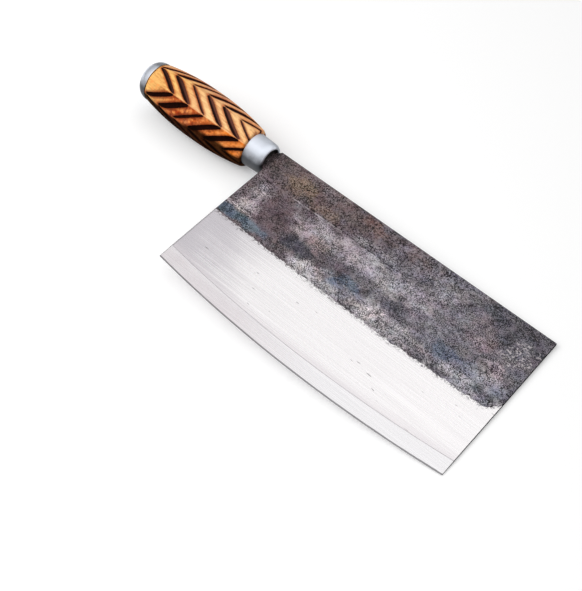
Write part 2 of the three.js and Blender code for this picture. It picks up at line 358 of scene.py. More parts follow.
def cheekSink(x, depth, side):  # how far the cheek lies under its flat face, never above it
    place = Vector((x, depth, side * blade["cheekApart"]))
    scale = 1 - smooth(depth - grindLine(x), -1.2, 0.6)
    wave = 0.5 + 0.5 * noise.noise(place / blade["hammerSize"])
    pits = max(0.0, noise.noise(place / blade["pitSize"]))
    pits += 0.6 * max(0.0, noise.noise(place / blade["finePitSize"] + Vector((9, 4, 2))))
    sink = scale * (blade["hammerDepth"] * wave * smooth(depth, 0, 12) + blade["pitDepth"] * pits)
    sink += (1 - scale) * blade["grindStep"] * smooth(edgeDepth(x) - depth, 10, 22)
    if side > 0:  # the cheek is drawn down below a forging line
        along = smooth(x, blade["foldFrom"], blade["foldFrom"] + blade["foldRunIn"])
        along *= smooth(x, blade["foldTo"], blade["foldTo"] - blade["foldRunOut"])
        below = depth - foldLine(x)
        sink += along * blade["foldStep"] * smooth(below, -0.8, 0.8) * smooth(below, 30, 8)
    return sink


def ironRing(x, inset):
    end = edgeDepth(x) - blade["steelBand"]
    corner, steps = blade["cornerRound"], blade["cornerSteps"]
    half = cheekHalf(x, 0) - inset
    upper = [(-inset, 0.0), (-inset, (half - corner) / 2)]
    for i in range(steps):
        angle = math.pi / 2 * i / steps
        upper.append((-inset - corner * (1 - math.cos(angle)), half - corner * (1 - math.sin(angle))))
    lower = [(y, -z) for y, z in upper[1:]]
    for j in range(blade["rows"]):
        depth = inset + corner + (end - inset - corner) * j / (blade["rows"] - 1)
        thinned = inset
        if depth > blade["slotDepth"]:
            thinned = min(inset * 2, blade["lipHalf"] - blade["slotHalf"] - blade["leastLip"])
        for side, points in ((1, upper), (-1, lower)):
            reach = cheekHalf(x, depth) - thinned - cheekSink(x, depth, side)
            points.append((-depth, side * reach))
    slot = [(end, 1), (blade["slotDepth"], 1), (blade["slotDepth"], -1), (end, -1)]
    inside = [(-depth, side * blade["slotHalf"]) for depth, side in slot]
    return [(x, y, z) for y, z in [*upper, *inside, *reversed(lower)]]


def ironCheeks():
    length, count, corner = blade["length"], blade["columns"], blade["cornerRound"]
    ends = [(corner * along, corner * off) for along, off in blade["endSteps"]]
    first, last = ends[-1][0], length - ends[-1][0]
    rings = [ironRing(x, inset) for x, inset in ends[:-1]]
    rings += [ironRing(first + (last - first) * i / count, 0.0) for i in range(count + 1)]
    rings += [ironRing(length - x, inset) for x, inset in reversed(ends[:-1])]
    return tube(rings)


def roundedBar(x, halfWidth, halfThickness):
    corner, steps = tang["cornerRound"], tang["cornerSteps"]
    ring = []
    for quarter in range(4):
        right = 1 if quarter in (0, 3) else -1
        top = 1 if quarter < 2 else -1
        for i in range(steps + 1):
            angle = math.pi / 2 * (quarter + i / steps)
            y = right * (halfWidth - corner) + corner * math.cos(angle)
            z = top * (halfThickness - corner) + corner * math.sin(angle)
            ring.append((x, y - knife["axisDrop"], z))
    return ring


def tangBar():
    thick = tang["neckHalfThickness"]
    stations = [
        (tang["headBase"], tang["tailHalfWidth"], tang["tailHalfThickness"]),
        (tang["rootPlace"], tang["rootHalfWidth"], thick),
        (tang["mouthPlace"], tang["neckHalfWidth"], thick),
        (tang["shoulderPlace"], tang["shoulderHalfWidth"], thick),
        (0.0, tang["heelHalfWidth"], thick),
        (tang["neckReach"], tang["heelHalfWidth"], thick),
    ]
    return tube([roundedBar(*station) for station in stations])


def peenedHead():  # the tail hammered out over its washer
    rings = []
    for i in range(tang["headRows"]):
        angle = math.pi / 2 * i / tang["headRows"]
        place = tang["headBase"] - tang["headHeight"] * math.sin(angle)
        ring = []
        for x, y, z in turnedRing(place, tang["headRadius"] * math.cos(angle), tang["headSides"]):
            dent = tang["headDents"] * (0.5 + 0.5 * noise.noise(Vector((x, y, z)) * 0.6))
            ring.append((x + dent * math.sin(angle), y, z))
        rings.append(ring)
    return tube(rings)


# Broad tones of the forge scale, laid on the mesh as colours
scaleTones = {
    "heel": (92, 79, 85),
    "toe": (97, 92, 102),
    "flecks": 0.2,
    "chroma": 1.3,
    "bright": 1.13,
    "hues": 0.13,
    "hueSize": 5.0,
    "fineHueSize": 2.2,
    "warpSize": 9.0,
    "warpReach": 4.0,
    "raggedSize": 4.5,
    "seed": 7,  # of the vector noise
}
# Place along the spine and below it, reach both ways, colour, share of that colour, how thickly pale
# flecks lie there, and how crisp its outline is
scalePatches = {
    "spine brown": (45, 8, 60, 9, (90, 73, 72), 0.75, 0.2, 0.0),
    # a painted shadow on the blade by the neck, beside the ferrule
    "painted neck shadow": (2, 9, 15, 11, (74, 61, 60), 0.6, 0.15, 0.2),
    "rust bloom": (26, 13, 11, 7, (112, 89, 68), 0.7, 0.15, 0.5),
    "rust streak": (46, 17, 12, 4, (110, 90, 78), 0.6, 0.2, 0.4),
    "heel brown": (23, 21, 11, 5, (90, 72, 70), 0.75, 0.2, 0.2),
    "grey spine": (47, 4, 10, 4, (116, 103, 107), 0.6, 0.3, 0.2),
    "red bloom": (78, 6, 9, 4, (112, 80, 72), 0.6, 0.2, 0.4),
    "red spine": (112, 5, 16, 6, (102, 85, 88), 0.6, 0.3, 0.2),
    "grey middle": (135, 28, 36, 24, (116, 110, 118), 0.75, 0.3, 0.2),
    "lilac middle": (122, 30, 14, 8, (126, 115, 124), 0.7, 0.4, 0.6),
    "pale drawn band": (72, 30, 37, 8, (142, 132, 139), 0.85, 0.5, 0.4),
    "pale band start": (45, 36, 9, 5, (142, 130, 138), 0.7, 0.4, 0.2),
    "rosy band": (60, 37, 7, 5, (146, 124, 124), 0.6, 0.3, 0.2),
    "pale fold": (85, 19.5, 13, 4, (138, 131, 138), 0.75, 0.4, 0.2),
    "pale band end": (106, 30, 22, 8, (146, 140, 148), 0.8, 0.5, 0.2),
    "pale heel spots": (12, 33, 6, 7, (142, 130, 137), 0.85, 0.4, 0.1),
    "pale heel chips": (11, 43, 10, 4.5, (148, 135, 140), 0.8, 1.0, 0.0),
    "pale heel line": (9, 48.5, 14, 1.6, (176, 164, 168), 0.9, 0.6, 0.3),
    "heel purple": (28, 37, 13, 13, (84, 65, 71), 0.85, 0.2, 0.5),
    "dark middle": (51, 47, 13, 6.5, (60, 58, 67), 0.9, 0.2, 0.6),
    "dark heel pool": (30, 51, 8, 4, (70, 62, 70), 0.8, 0.2, 0.3),
    "blue heel strip": (10, 54, 26, 4.2, (86, 97, 110), 0.95, 0.05, 0.8),
    "pale grind margin": (66, 54.5, 14, 6, (170, 162, 166), 0.9, 0.3, 0.2),
    "pale grind edge": (80, 57.5, 22, 5, (152, 145, 150), 0.85, 0.4, 0.2),
    "blue haze": (90, 49, 12, 7, (88, 98, 118), 0.85, 0.3, 0.3),
    "pale margin": (118, 54, 30, 7, (150, 143, 147), 0.8, 0.5, 0.1),
    "pale margin start": (111, 53, 12, 6, (170, 163, 167), 0.9, 0.5, 0.2),
    "pale cloud": (136, 14, 10, 8, (134, 129, 136), 0.75, 0.3, 0.3),
    "dark pool": (118, 42, 12, 4, (86, 84, 95), 0.75, 0.2, 0.4),
    "blue bloom": (158, 47, 9, 6, (82, 91, 110), 0.85, 0.1, 0.3),
    "blue bloom end": (172, 47, 7, 5, (118, 120, 132), 0.8, 0.05, 0.5),
    "rosy middle": (161, 23, 10, 10, (112, 98, 104), 0.6, 0.3, 0.5),
    "pink bloom": (169, 27, 8, 6, (136, 116, 122), 0.65, 0.5, 0.2),
    "pink bloom end": (181, 38, 8, 7, (148, 132, 138), 0.7, 0.7, 0.2),
    "toe shade": (182, 6, 30, 12, (76, 73, 81), 0.8, 0.15, 0.2),
    "toe flecks": (188, 20, 10, 9, (90, 86, 93), 0.75, 1.0, 0.3),
    "toe chips": (180, 44, 5, 4, (128, 120, 127), 0.7, 1.0, 0.2),
    "pale toe margin": (173, 54, 16, 5, (146, 140, 149), 0.8, 0.4, 0.1),
    "toe corner": (187, 49, 10, 8, (136, 134, 143), 0.95, 0.0, 0.7),
}


def scaleToneAt(x, depth, side):
    shift = side * blade["cheekApart"]
    warp = noise.noise_vector(Vector((x, depth, shift)) / scaleTones["warpSize"]) * scaleTones["warpReach"]
    heel, toe = (Vector((*colour(*scaleTones[end])[:3], scaleTones["flecks"])) for end in ("heel", "toe"))
    tone = heel.lerp(toe, smooth(x, 30, 130))
    for number, patch in enumerate(scalePatches.values()):
        across, below, reach, drop, shade, share, flecks, crisp = patch
        aside = (x + warp.x - across) / reach
        lower = (depth + warp.y * (1 - crisp * 0.6) - below) / drop
        apart = aside**2 + lower**2
        if apart > 3.0:
            continue
        spot = Vector((x * 0.7, depth, shift + number * 7)) / scaleTones["raggedSize"]
        ragged = noise.fractal(spot, 0.7, 2.1, 5)
        fade = math.exp(-apart * 0.8) + ragged * (0.42 - crisp * 0.25)
        cover = smooth(fade, 0.2 + crisp * 0.2, 0.85 - crisp * 0.2)  # crisp patches have an outline
        tone = tone.lerp(Vector((*colour(*shade)[:3], flecks)), share * cover)
    hue = noise.noise_vector(Vector((x * 0.7, depth, shift * 2.25)) / scaleTones["hueSize"])
    hue += noise.noise_vector(Vector((x, depth, shift * 3)) / scaleTones["fineHueSize"]) * 0.6
    tint = Vector((1 + hue.x * scaleTones["hues"], 1.0, 1 + hue.y * scaleTones["hues"]))
    grey = tone.xyz.dot(Vector((0.21, 0.72, 0.07)))
    parts = [(grey + (part - grey) * scaleTones["chroma"]) * scaleTones["bright"] for part in tone.xyz]
    return [part * share for part, share in zip(parts, tint)] + [tone.w]


# painted shade: the end faces of the blade are painted near-black
def endShadeMask(x):  # 1 on the faces at the heel and the toe
    fades, whole = 0.35, 0.05  # in from an end
    heel = ease(x, fades, whole) * ease(x, -0.06, -0.01)  # none on the neck
    return heel.math("MAXIMUM", ease(x, blade["length"] - fades, blade["length"] - whole))


ironColours = {
    "fleck": colour(212, 204, 206),
    "pit": colour(28, 25, 28),
    "ground": colour(252, 249, 250),
    "paintedHeelShade": colour(190, 184, 192),
    "nick": colour(96, 92, 96),
    "bySteel": colour(226, 219, 223),
    "seam": colour(160, 155, 159),
    # near-black of the painted shade on the blade's end faces
    "ends": colour(16, 15, 16),
    "tailDark": colour(120, 114, 110),
    "tailBare": colour(196, 192, 188),
}


def sineOf(wire):
    return wire.math("SINE")


def grindStart(place, x, depth):  # a ragged line with chips and a few dark runs across it
    ragged = (grain(place, 0.14, 2.0) - 0.5) * 2.5 + (grain(place, 0.6, 4.0, 0.8) - 0.5) * 5.0
    runs = ease(grain(stretched(place, 0.55, 0.1, 1.0), 1.0, 2.0), 0.62, 0.72)
    below = depth - grindLine(x, sineOf, ease) + ragged - runs * 2.0
    chips = ease(grain(stretched(place, 0.4, 1.0, 1.0), 1.0, 3.0), 0.6, 0.63) * ease(below, 2.5, 0.6)
    stipple = ease(grain(place, 1.2, 2.0, 0.6), 0.54, 0.57) * ease(below, 3.4, 0.4)
    ground = ease(below, -0.12, 0.15) * (1.0 - chips.math("MAXIMUM", stipple))
    return below, ground


def forgingLine(x, depth, mottle):  # the cheek is paler below it, with a painted dark crease along it and a painted highlight on its lip at the heel end
    fromFold = depth - foldLine(x, sineOf)
    run = ease(x, 16.0, 26.0) * ease(x, blade["foldTo"], blade["foldTo"] - 26.0)
    paler = run * ease(fromFold, -0.2, 0.3) * ease(fromFold, 18.0, 7.0) * 0.3
    darker = run * ease(fromFold, 0.2, -0.2) * ease(fromFold, -6.0, -1.0) * 0.45
    # painted shade: a dark line along the fold's crease
    creaseShade = ease((fromFold + 0.2).math("ABSOLUTE"), 0.6, 0.2) * ease(x, 46.0, 62.0) * ease(x, 114.0, 98.0)
    # painted highlight: a bright line along the fold's lip
    lip = ease((fromFold - 0.3 + (mottle - 0.5) * 1.5).math("ABSOLUTE"), 0.6, 0.25)
    return paler - darker - creaseShade * 1.2, lip * ease(x, 22.0, 30.0) * ease(x, 76.0, 50.0)


def forgeScale(place, x, depth, below):  # plates, mottle and pits over the broad tones
    tree = place.tree
    flaking = kept(tree, "tone", "Alpha")
    calm = ease(flaking, 0.0, 0.14, 0.3, 1.0)  # where no flecks lie
    drawn = stretched(place, 0.88, 1.0, 1.0)
    cloud = grain(drawn, 0.12, 3.0, 0.55, 0.6)
    mottle = grain(drawn, 0.5, 4.0, 0.6, 0.6)
    speck = grain(drawn, 1.9, 2.0, 0.7, 0.3)
    flaked = grain(drawn, 0.17, 6.0, 0.62, 1.6)
    plates = ease(flaked, 0.485, 0.515)
    veins = ease((flaked - 0.485).math("ABSOLUTE"), 0.02, 0.0)
    pitted = ease(grain(place, 0.09, 3.0), 0.36, 0.64, 0.6, 1.3) * (1.0 - plates * 0.4)

    # light and dark in stops, which lift the tone towards grey and dim it evenly
    stops = (plates - 0.5) * 1.1 + (mottle - 0.5) * 3.8 + (speck - 0.5) * pitted * 28.0 - veins * 0.7
    stops = stops * calm + (cloud - 0.5) * 4.5 - ease(below, -1.2, -0.1) * 0.5
    fold, lip = forgingLine(x, depth, mottle)
    stops = (stops + fold) * 1.15
    rise = stops.math("MAXIMUM", 0.0)
    dim = 2.0 ** (stops.math("MINIMUM", 0.0) * 2.2)
    hues = grain(place, 0.12, 2.0, 0.5, 0.5, output="Color")
    tone = blend(tree, 0.16, kept(tree, "tone", "Color"), hues, "SOFT_LIGHT")
    grey = addNode(tree, "ShaderNodeRGBToBW", {"Color": tone})
    lift = (2.0 ** (rise / (1.0 + rise * 0.5)) - 1.0) * grey
    scale = shaded(blend(tree, 1.0, tone, combine(tree, lift, lift, lift), "ADD"), dim)

    flecks = ease(grain(place, 0.8, 3.0, 0.65) + flaking * 0.14, 0.655, 0.68)
    flecks = flecks * (0.25 + flaking * 0.75) * calm
    # the painted highlight on the fold's lip shows as pale flecks
    flecks = flecks.math("MAXIMUM", lip * ease(grain(place, 0.35, 3.0), 0.4, 0.6) * 0.65)
    pits = ease(grain(place, 0.9, 3.0, 0.6), 0.39, 0.32) * calm
    scale = blend(tree, flecks * 0.8, scale, ironColours["fleck"])
    scale = blend(tree, pits * 0.8, scale, ironColours["pit"])
    return scale, mottle, speck


def groundFace(place, x, depth):  # fine lines along the blade, dimmer at the heel
    tree = place.tree
    lines = grain(stretched(place, 0.010, 1.1, 1.0), 1.0, 4.0, 0.65)
    fine = grain(stretched(place, 0.035, 3.5, 1.0), 1.0, 3.0, 0.6)
    silver = shaded(ironColours["ground"], 0.98 + (lines - 0.5) * 0.3 + (fine - 0.5) * 0.3)
    # painted shade: the ground face is dimmer towards the heel
    streaky = x + (lines - 0.5) * 60.0 + (grain(place, 0.05, 2.0) - 0.5) * 30.0
    silver = blend(tree, ease(streaky, 56.0, 4.0) * 0.68, silver, ironColours["paintedHeelShade"])
    nicks = ease(grain(stretched(place, 0.16, 0.9, 1.0), 1.0, 1.0), 0.755, 0.78)
    silver = blend(tree, nicks * 0.75, silver, ironColours["nick"])
    toSteel = edgeDepth(x, lambda wire: wire.math("SQRT")) - blade["steelBand"] - depth
    nearSteel = ease(toSteel + (lines - 0.5) * 6.0, 6.0, 0.0)
    silver = blend(tree, nearSteel * 0.5, silver, ironColours["bySteel"])
    seam = ease(toSteel, 0.3, 0.1)  # the thin end of the iron doesn't glint
    silver = blend(tree, seam * 0.5, silver, ironColours["seam"])
    return silver, lines, fine


def ironFinish():
    material, tree, shader = finish("forgedIron")
    place = knifePlace(tree)
    x, y = separate(place)[:2]
    depth = y * -1.0
    below, ground = grindStart(place, x, depth)
    scale, mottle, speck = forgeScale(place, x, depth, below)
    silver, lines, fine = groundFace(place, x, depth)

    # the ends of the blade are painted near-black as painted shade, and the peened tail is hammered bare
    ends = endShadeMask(x)
    tail = ease(x, -60.0, -80.0)
    ground = ground * (1.0 - ends) * (1.0 - tail)
    hammered = blend(tree, mottle, ironColours["tailDark"], ironColours["tailBare"])
    scale = blend(tree, ends, scale, ironColours["ends"])
    scale = blend(tree, tail, scale, hammered)
    rough = 0.62 + (mottle - 0.5) * 0.4 + ends * 0.38 - tail * 0.25
    relief = (mottle - 0.5) * 0.6 + (speck - 0.5) * 0.5
    height = relief * (1.0 - ground) + ((lines - 0.5) * 0.15 + (fine - 0.5) * 0.1) * ground
    dress(
        shader,
        Base_Color=blend(tree, ground, scale, silver),
        Metallic=(0.2 + ground * 0.55) * (1.0 - ends) + tail * 0.7,
        Specular_IOR_Level=0.4 - ends * 0.4,
        Roughness=rough + ground * (0.27 + (lines - 0.5) * 0.2 - rough),
        Normal=bumpOf(height, 0.25),
    )
    return material


def forgedBlade():
    shell = joined(ironCheeks(), tangBar(), peenedHead())
    mesh = meshOf("forgedBlade", shell)
    noise.seed_set(scaleTones["seed"])
    tones = []
    for x, y, z in shell[0]:
        tones.extend(scaleToneAt(x, -y, 1 if z > 0 else -1))
    mesh.attributes.new("tone", "FLOAT_COLOR", "POINT").data.foreach_set("color", tones)
    makePiece(mesh, ironFinish(), "blade_body")


forgedBlade()


# Edge steel: the bare band along the cutting edge, and its body up in the slot
edgeBand = {
    "half": 0.5,
    "edgeHalf": 0.1,
    "honedHalf": 0.03,  # at the very edge, past the honing
    "edgeShadowWidth": 1.0,
    "top": 22.06,
    "steps": 10,
    "columns": 200,
    "ground": colour(250, 248, 250),
    "rosy": colour(226, 215, 219),  # towards the heel
    # colour of a painted shadow line along the cutting edge
    "edgeShadowLine": colour(96, 94, 98),
    "ends": colour(16, 15, 16),
}


def steelRing(x):
    start = edgeDepth(x) - blade["steelBand"]
    upper = [(-edgeBand["top"], edgeBand["half"])]
    for i in range(edgeBand["steps"] + 1):
        share = i / edgeBand["steps"]
        half = edgeBand["half"] + (edgeBand["edgeHalf"] - edgeBand["half"]) * share
        upper.append((-start - blade["steelBand"] * share, half if share < 1 else edgeBand["honedHalf"]))
    return [(x, y, z) for y, z in [*upper, *((y, -z) for y, z in reversed(upper))]]


def steelFinish():
    material, tree, shader = finish("edgeSteel")
    place = knifePlace(tree)
    x = separate(place)[0]
    fromEdge = kept(tree, "fromEdge", "Fac")
    lines = grain(stretched(place, 0.010, 1.5, 1.0), 1.0, 4.0, 0.6)
    fine = grain(stretched(place, 0.05, 6.0, 1.0), 1.0, 2.0)
    bright = 0.93 + (lines - 0.5) * 0.25 + (fine - 0.5) * 0.2
    rosy = ease(x, 130.0, 40.0) * (0.3 + grain(place, 0.08, 2.0)) * ease(fromEdge, 11.0, 7.0, 0.4, 1.0)
    steel = shaded(blend(tree, rosy * 0.6, edgeBand["ground"], edgeBand["rosy"]), bright)
    # painted shadow: a thin dark line along the cutting edge
    edgeShadowLine = ease(fromEdge + (fine - 0.5) * 0.5, edgeBand["edgeShadowWidth"], edgeBand["edgeShadowWidth"] - 0.3)
    steel = blend(tree, edgeShadowLine * 0.8, steel, edgeBand["edgeShadowLine"])
    # painted shade: the ends of the edge steel are near-black too
    ends = endShadeMask(x)
    rough = 0.27 + (lines - 0.5) * 0.2
    dress(
        shader,
        Base_Color=blend(tree, ends, steel, edgeBand["ends"]),
        Metallic=0.75 - ends * 0.75,
        Specular_IOR_Level=0.5 - ends * 0.5,
        Roughness=rough + ends * (1.0 - rough),
        Normal=bumpOf(lines * 0.2 + fine * 0.12, 0.1),
    )
    return material


def steelEdge():
    count = edgeBand["columns"]
    shell = tube([steelRing(blade["length"] * i / count) for i in range(count + 1)])
    mesh = meshOf("steelEdge", shell, 20)
    fromEdge = [edgeDepth(x) + y for x, y, z in shell[0]]
    mesh.attributes.new("fromEdge", "FLOAT", "POINT").data.foreach_set("value", fromEdge)
    makePiece(mesh, steelFinish(), "edge_steel")


steelEdge()


# Carved grip: a faceted barrel with a burnt herringbone, drawn by geometry nodes
grip = {
    "shoulder": -15.6,
    "length": 79.0,
    "bellyRadius": 16.9,
    "bellyPlace": 40.0,  # back from the shoulder
    "frontRadius": 12.9,
    "buttRadius": 13.2,
    "barrelPower": 2.2,
    "rimRound": 0.6,
    "flatness": 0.5,
    "skin": 0.06,  # taken off all round, so that the carved barrel stays inside the CAD one
    "wobble": 0.22,
    "tenonFront": -5.3,
    "tenonRear": -99.91,
    "tenonRadius": 9.1,
    "rearTenonRadius": 11.8,
    "rearTenonEnd": 9.8,
    "boreFront": 7.16,
    "boreRear": 4.41,
}
gripMesh = {"around": 256, "along": 340, "endCrowding": 0.6}
carving = {
    "facets": 8.0,
    "ridgeTurn": 9.0,  # degrees from the upper cheek's normal to the first ridge, towards the spine
    "firstBase": -92.4,  # where the first cut leaves the first ridge
    "pitch": 13.0,
    "reach": 19.6,  # how far a cut runs along the grip across one facet
    "lean": 0.55,  # from a distance along the grip to one square to the cut
    "wideCut": 3.8,
    "middleCut": 3.2,
    "narrowCut": 2.0,
    "facetSpread": 0.06,  # cuts on odd facets are wider by this share, on even ones narrower
    "pointing": 10.0,  # how bluntly a cut ends at a ridge
    "depthShare": 0.6,  # of the half width
    "waver": 0.5,
    "seed": 3.0,
}


def herringbone(x, turn, cut):
    # half width of the nearest cut, and how far the point lies from its middle, both square to it
    tree = x.tree
    facet = turn.math("FLOOR")
    across = turn.math("PINGPONG", 1.0)
    odd = facet.math("FLOORED_MODULO", 2.0)
    waver = (grain(combine(tree, x * 0.12, turn * 1.3, 0.0), 1.0, 1.0) - 0.5) * cut["waver"]
    along = (x - cut["firstBase"] - across * cut["reach"] + waver) / cut["pitch"]
    number = (along + 0.5).math("FLOOR")
    kind = number.math("FLOORED_MODULO", 3.0)
    wide = kind.math("COMPARE", 1.0, 0.5)
    narrow = kind.math("COMPARE", 2.0, 0.5)
    width = cut["middleCut"] + wide * (cut["wideCut"] - cut["middleCut"])
    width = width + narrow * (cut["narrowCut"] - cut["middleCut"])
    draw = addNode(tree, "ShaderNodeTexWhiteNoise", {"Vector": combine(tree, facet, number, cut["seed"])})
    width = width * (1.0 + (odd * 2.0 - 1.0) * cut["facetSpread"]) * (0.9 + draw * 0.2)
    pointed = 1.0 - (across * 2.0 - 1.0).math("ABSOLUTE") ** cut["pointing"]
    made = number.math("GREATER_THAN", -0.5)
    half = width * 0.5 * pointed * made
    return half, (along - number) * cut["pitch"] * cut["lean"]


def barrelRadius(x, size):
    belly = size["shoulder"] - size["bellyPlace"]
    ahead = (x - belly).math("MAXIMUM", 0.0) / size["bellyPlace"]
    behind = (belly - x).math("MAXIMUM", 0.0) / (size["length"] - size["bellyPlace"])
    thinned = (size["bellyRadius"] - size["frontRadius"]) * ahead ** size["barrelPower"]
    radius = size["bellyRadius"] - thinned
    radius = radius - (size["bellyRadius"] - size["buttRadius"]) * behind ** size["barrelPower"]
    fromEnd = (x - size["shoulder"] + size["length"]).math("MINIMUM", size["shoulder"] - x)
    corner = 1.0 - (fromEnd / size["rimRound"]).math("MINIMUM", 1.0)
    dropped = 1.0 - (1.0 - corner * corner).math("MAXIMUM", 0.0).math("SQRT")
    return radius - size["rimRound"] * dropped - size["skin"], fromEnd


def choose(tree, index, options):
    node = tree.nodes.new("GeometryNodeIndexSwitch")
    node.data_type = "FLOAT"
    while len(node.index_switch_items) < len(options):
        node.index_switch_items.new()
    for value, socket in zip([index, *options], node.inputs):
        plug(tree, value, socket)
    return Wire(tree, node.outputs[0])


def gripTree(sizes):
    tree = bpy.data.node_groups.new("carvedGrip", "GeometryNodeTree")
    face = tree.interface
    for name, value in sizes.items():
        kind = "NodeSocketInt" if isinstance(value, int) else "NodeSocketFloat"
        face.new_socket(name, in_out="INPUT", socket_type=kind).default_value = value
    face.new_socket("material", in_out="INPUT", socket_type="NodeSocketMaterial")
    face.new_socket("wood", in_out="OUTPUT", socket_type="NodeSocketGeometry")
    entry = tree.nodes.new("NodeGroupInput")
    size = {socket.name: Wire(tree, socket) for socket in entry.outputs if socket.name}

    # a grid wrapped round the axis: the barrel's rows, then the tenons and the bore back to the start
    index = addNode(tree, "GeometryNodeInputIndex")
    columns = size["around"] + 1.0
    extraRows = 6.0  # of the tenons and the bore
    row = (index / columns).math("FLOOR")
    column = index - row * columns
    row = row.math("FLOORED_MODULO", size["along"] + extraRows)
    share = row / (size["along"] - 1.0)
    crowd = (share * (2 * math.pi)).math("SINE") * size["endCrowding"] / (2 * math.pi)
    x = size["shoulder"] - size["length"] + size["length"] * (share - crowd)
    turn = (column.math("FLOORED_MODULO", size["around"])) / size["around"] * size["facets"]

    radius, fromEnd = barrelRadius(x, size)
    facetAngle = 2 * math.pi / carving["facets"]
    flat = math.cos(facetAngle / 2) / ((turn.math("FRACT") - 0.5) * facetAngle).math("COSINE")
    radius = radius * (1.0 + (flat - 1.0) * size["flatness"])
    place = combine(tree, x * 0.05, (turn * facetAngle).math("SINE"), (turn * facetAngle).math("COSINE"))
    radius = radius - grain(place, 1.6, 2.0) * size["wobble"]
    half, aside = herringbone(x, turn, size)
    gouge = (1.0 - (aside / half) ** 2.0).math("MAXIMUM", 0.0) * half * size["depthShare"]
    radius = radius - gouge * ease(fromEnd, 0.2, 1.6)

    section = (row - size["along"] + 1.0).math("MAXIMUM", 0.0)
    butt = size["shoulder"] - size["length"]
    x = choose(tree, section, [
        x, size["shoulder"], size["tenonFront"], size["tenonFront"],
        size["tenonRear"], size["tenonRear"], butt])
    radius = choose(tree, section, [
        radius, size["tenonRadius"], size["tenonRadius"], size["boreFront"],
        size["boreRear"], size["rearTenonEnd"], size["rearTenonRadius"]])
    angle = turn * facetAngle - math.radians(carving["ridgeTurn"])
    y = -knife["axisDrop"] - radius * angle.math("SINE")
    spot = combine(tree, x, y, radius * angle.math("COSINE"))

    counts = {"Vertices X": size["along"] + extraRows + 1.0, "Vertices Y": columns}
    grid = addNode(tree, "GeometryNodeMeshGrid", counts)
    wood = addNode(tree, "GeometryNodeSetPosition", {"Geometry": grid, "Position": spot})
    wood = addNode(tree, "GeometryNodeMergeByDistance", {"Geometry": wood, "Distance": 0.0005})
    wood = addNode(tree, "GeometryNodeRealizeInstances", {"Geometry": wood})
    wood = addNode(tree, "GeometryNodeSetMaterial", {"Geometry": wood, "Material": size["material"]})
    plug(tree, wood, tree.nodes.new("NodeGroupOutput").inputs["wood"])
    return tree


woodColours = {
    "paleButt": colour(255, 205, 120),
    "pale": colour(255, 213, 150),
    "toastPaintedLighter": colour(255, 138, 40),
    "toastAndShade": colour(194, 66, 4),
    "streak": colour(190, 94, 32),
    "pore": colour(130, 58, 20),
    "blotch": colour(244, 158, 84),
    "upperScorch": colour(178, 74, 18),
    "lowerScorch": colour(128, 46, 8),
    "soot": colour(92, 32, 6),
    "char": colour(8, 4, 4),
    "brownChar": colour(40, 16, 12),
    "paintedLitWall": colour(112, 66, 54),
    "underside": colour(14, 7, 5),
}


